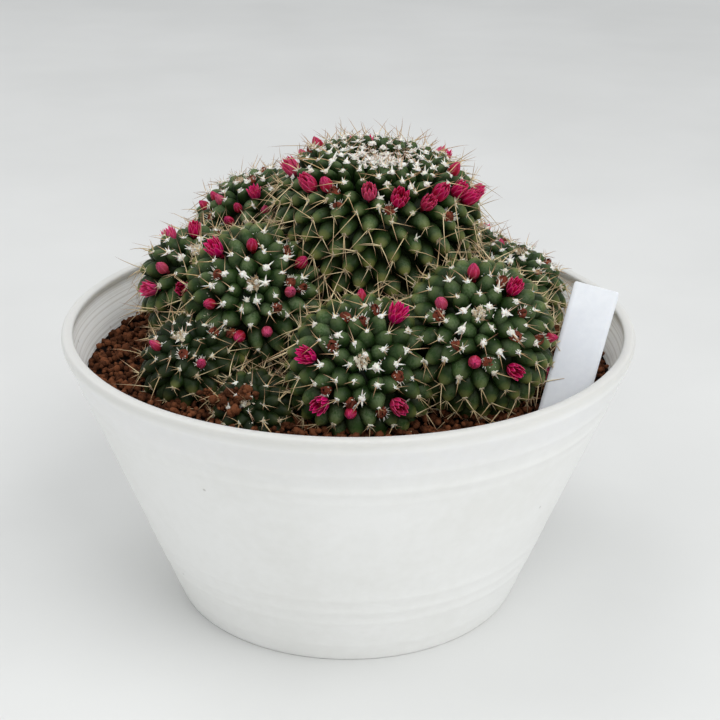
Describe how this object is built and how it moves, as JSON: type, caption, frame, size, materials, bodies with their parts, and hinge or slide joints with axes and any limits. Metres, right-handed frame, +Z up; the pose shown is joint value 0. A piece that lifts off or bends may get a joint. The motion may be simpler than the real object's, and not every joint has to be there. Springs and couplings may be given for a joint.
{
  "type": "potted flowering cactus",
  "caption": "Clumping cactus with woolly, spined tubercles and small crimson blooms, growing in gritty soil in a wide tapering plastic pot with a plain stick-in label.",
  "frame": {"origin": "centre of the pot's foot, on the surface that the pot stands on", "axes": "+Z up, along the pot's axis; -Y is the side that faces the viewer, with the label at its right; +X to the viewer's right"},
  "size_m": [0.33, 0.33, 0.2701],
  "materials": {
    "pot": "satin",
    "soil": "matte",
    "plant_label": "satin",
    "cactus_flesh": "satin",
    "spines": "satin",
    "wool": "matte",
    "petals": "satin",
    "bud_petals": "satin"
  },
  "bodies": {
    "root": {"pot": "pot", "offset_low_left": "cactus_flesh", "offset_low_front": "cactus_flesh", "offset_front": "cactus_flesh", "offset_right": "cactus_flesh", "offset_left_front": "cactus_flesh", "offset_left": "cactus_flesh", "offset_right_back": "cactus_flesh", "offset_left_back": "cactus_flesh", "offset_back": "cactus_flesh", "offset_back_right": "cactus_flesh", "main_head": "cactus_flesh", "soil": "soil", "plant_label": "plant_label", "bud_bloom_offset_front_1": "bud_petals", "open_bloom_offset_front_2": "petals", "open_bloom_offset_front_3": "petals", "open_bloom_offset_front_4": "petals", "bud_bloom_offset_front_5": "bud_petals", "open_bloom_offset_front_6": "petals", "bud_bloom_offset_right_1": "bud_petals", "open_bloom_offset_right_2": "petals", "open_bloom_offset_right_3": "petals", "bud_bloom_offset_right_4": "bud_petals", "bud_bloom_offset_right_5": "bud_petals", "open_bloom_offset_right_6": "petals", "bud_bloom_offset_left_front_1": "bud_petals", "bud_bloom_offset_left_front_2": "bud_petals", "bud_bloom_offset_left_front_3": "bud_petals", "bud_bloom_offset_left_front_4": "bud_petals", "bud_bloom_offset_left_front_5": "bud_petals", "bud_bloom_offset_left_front_6": "bud_petals", "open_bloom_offset_left_front_7": "petals", "open_bloom_offset_left_1": "petals", "open_bloom_offset_left_2": "petals", "bud_bloom_offset_left_3": "bud_petals", "open_bloom_offset_left_4": "petals", "open_bloom_offset_left_5": "petals", "bud_bloom_offset_left_back_1": "bud_petals", "open_bloom_offset_left_back_2": "petals", "bud_bloom_offset_left_back_3": "bud_petals", "bud_bloom_offset_left_back_4": "bud_petals", "bud_bloom_offset_left_back_5": "bud_petals", "open_bloom_offset_back_1": "petals", "open_bloom_offset_back_right_1": "petals", "open_bloom_main_head_1": "petals", "bud_bloom_main_head_2": "bud_petals", "open_bloom_main_head_3": "petals", "bud_bloom_main_head_4": "bud_petals", "open_bloom_main_head_5": "petals", "open_bloom_main_head_6": "petals", "open_bloom_main_head_7": "petals", "open_bloom_main_head_8": "petals", "open_bloom_main_head_9": "petals", "open_bloom_main_head_10": "petals", "open_bloom_main_head_11": "petals", "bud_bloom_main_head_12": "bud_petals", "open_bloom_main_head_13": "petals", "open_bloom_main_head_14": "petals", "bud_bloom_main_head_15": "bud_petals"}
  },
  "joints": []
}
